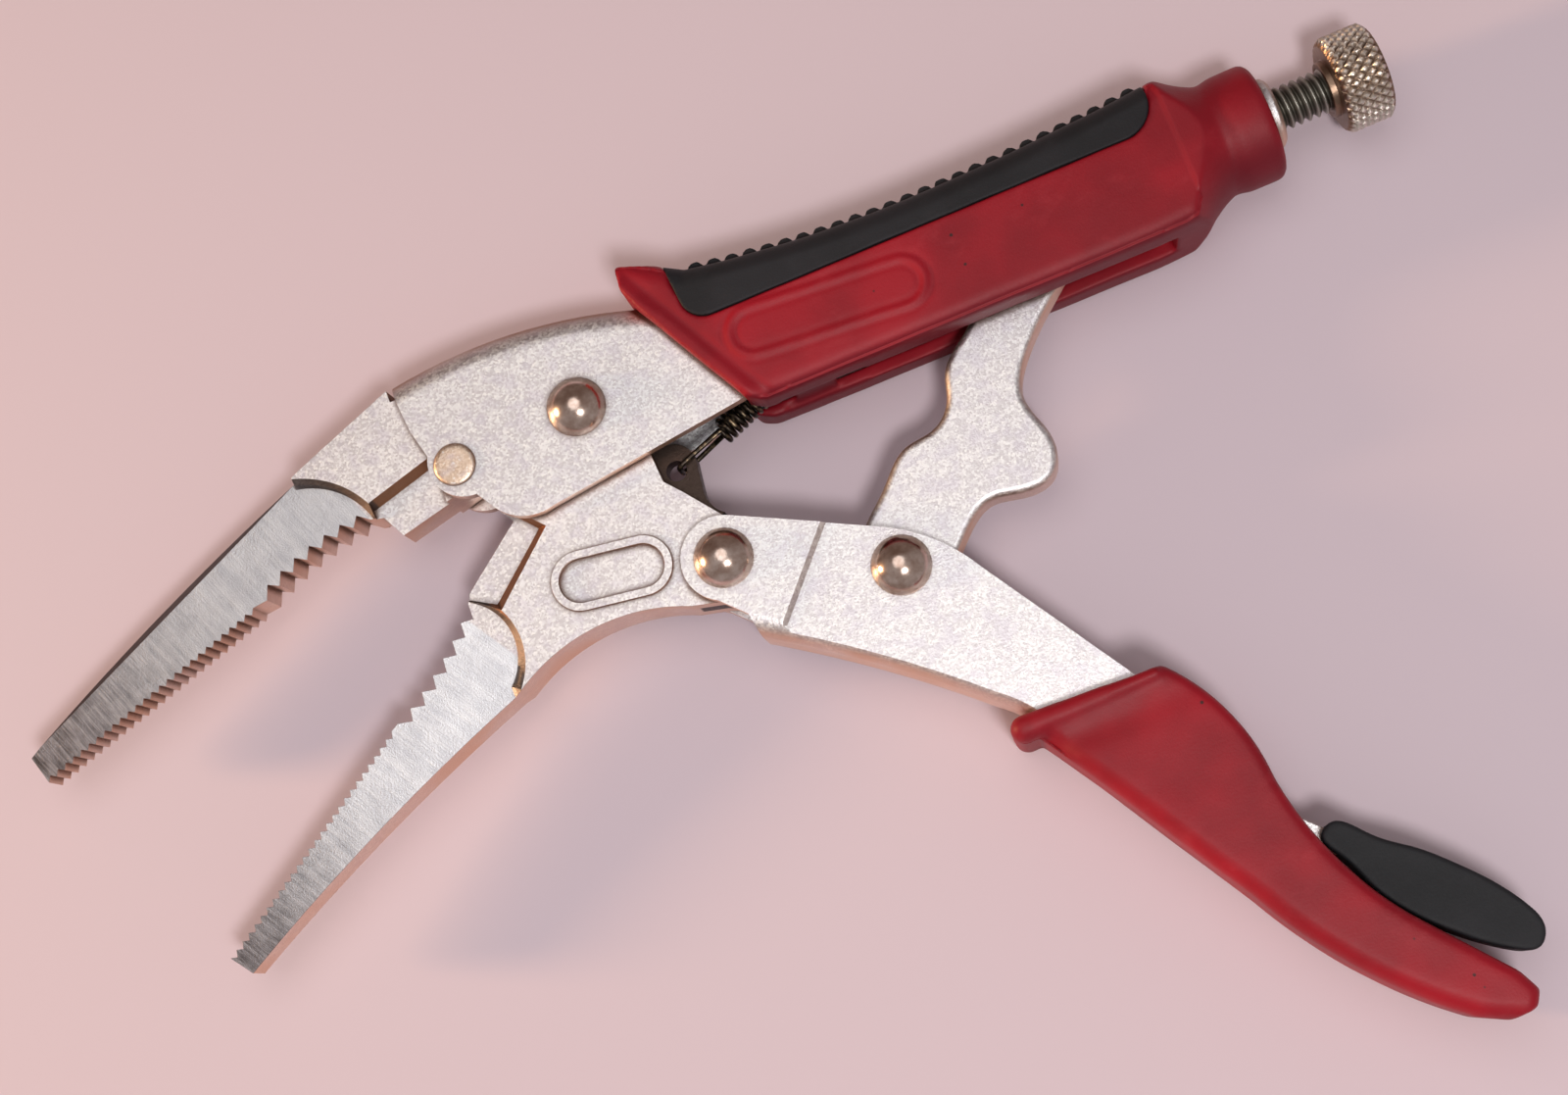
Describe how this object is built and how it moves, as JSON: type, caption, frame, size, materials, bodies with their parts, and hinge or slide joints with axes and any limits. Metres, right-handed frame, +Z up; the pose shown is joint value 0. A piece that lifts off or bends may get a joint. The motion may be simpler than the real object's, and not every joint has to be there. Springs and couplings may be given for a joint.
{
  "type": "locking pliers",
  "caption": "Long-nose locking pliers with toothed jaws, wire cutters, a toggle linkage, sleeved handles, a knurled adjusting knob and a release lever.",
  "frame": {"origin": "on the surface the tool lies on, under the middle of its bounding box, handles fully open", "axes": "+X along the upper handle from the jaws to the adjusting knob, +Y from the lower handle towards the upper handle's back, +Z up through the thickness of the tool lying on its side"},
  "size_m": [0.23, 0.1504, 0.0196],
  "materials": {
    "plated_steel": "satin pearl nickel plate over pressed steel",
    "jaw_steel": "satin plate on the forged body, cross-ground noses",
    "rivet_steel": "polished domed heads",
    "knob_steel": "nickel plate over a diamond knurl",
    "screw_steel": "oiled rolled thread, bright on the crests",
    "spring_steel": "dark oiled spring wire",
    "red_grip": "soft red moulded vinyl, slightly scuffed",
    "black_rubber": "matt charcoal rubber with cross ribs"
  },
  "bodies": {
    "upper_handle": {"upper_handle_channel": "plated_steel", "fixed_jaw": "jaw_steel", "fixed_jaw_rivet": "rivet_steel", "main_pivot_rivet": "rivet_steel", "thread_bush": "plated_steel", "upper_grip": "red_grip", "upper_grip_inlay": "black_rubber", "spring_anchor_pin": "rivet_steel", "tension_spring": "spring_steel"},
    "lower_jaw": {"moving_jaw": "jaw_steel"},
    "lower_handle": {"lower_handle_channel": "plated_steel", "jaw_handle_rivet": "rivet_steel", "link_rivet": "rivet_steel", "lower_grip": "red_grip", "release_lever_pin": "rivet_steel", "release_lever_spring": "spring_steel"},
    "link": {"toggle_link": "plated_steel"},
    "lever": {"release_lever": "plated_steel", "release_lever_pad": "black_rubber"},
    "screw": {"adjusting_screw": "screw_steel"},
    "knob": {"adjusting_knob": "knob_steel"}
  },
  "joints": [
    {"name": "jaw_pivot", "type": "hinge", "parent": "upper_handle", "child": "lower_jaw", "pos_m": [-0.0161, 0.0578, 0.0098], "axis": [0, 0, -1], "range_deg": [0, 22.81], "deforming": ["tension_spring"]},
    {"name": "handle_squeeze", "type": "hinge", "parent": "lower_jaw", "child": "lower_handle", "pos_m": [-0.0036, 0.0274, 0.0098], "axis": [0, 0, 1], "range_deg": [0, 67]},
    {"name": "link_pivot", "type": "hinge", "parent": "lower_handle", "child": "link", "pos_m": [0.0204, 0.0163, 0.0098], "axis": [0, 0, -1], "range_deg": [0, 63]},
    {"name": "release_press", "type": "hinge", "parent": "lower_handle", "child": "lever", "pos_m": [0.0509, -0.0292, 0.0098], "axis": [0, 0, -1], "range_deg": [0, 4.5], "stiffness_Nm_per_rad": 0.5, "deforming": ["release_lever_spring"]},
    {"name": "screw_travel", "type": "slide", "parent": "upper_handle", "child": "screw", "axis": [1, 0, 0], "range_m": [-0.007, 0.0098]},
    {"name": "knob_turn", "type": "hinge", "parent": "screw", "child": "knob", "pos_m": [0.1109, 0.0602, 0.0098], "axis": [1, 0, 0], "range_deg": [-1801, 2521]}
  ],
  "couplings": [
    {"joint": "jaw_pivot", "follows": "handle_squeeze", "ratio": 0.3403},
    {"joint": "link_pivot", "follows": "handle_squeeze", "ratio": 0.94},
    {"joint": "knob_turn", "follows": "screw_travel", "rad_per_m": 4488}
  ]
}
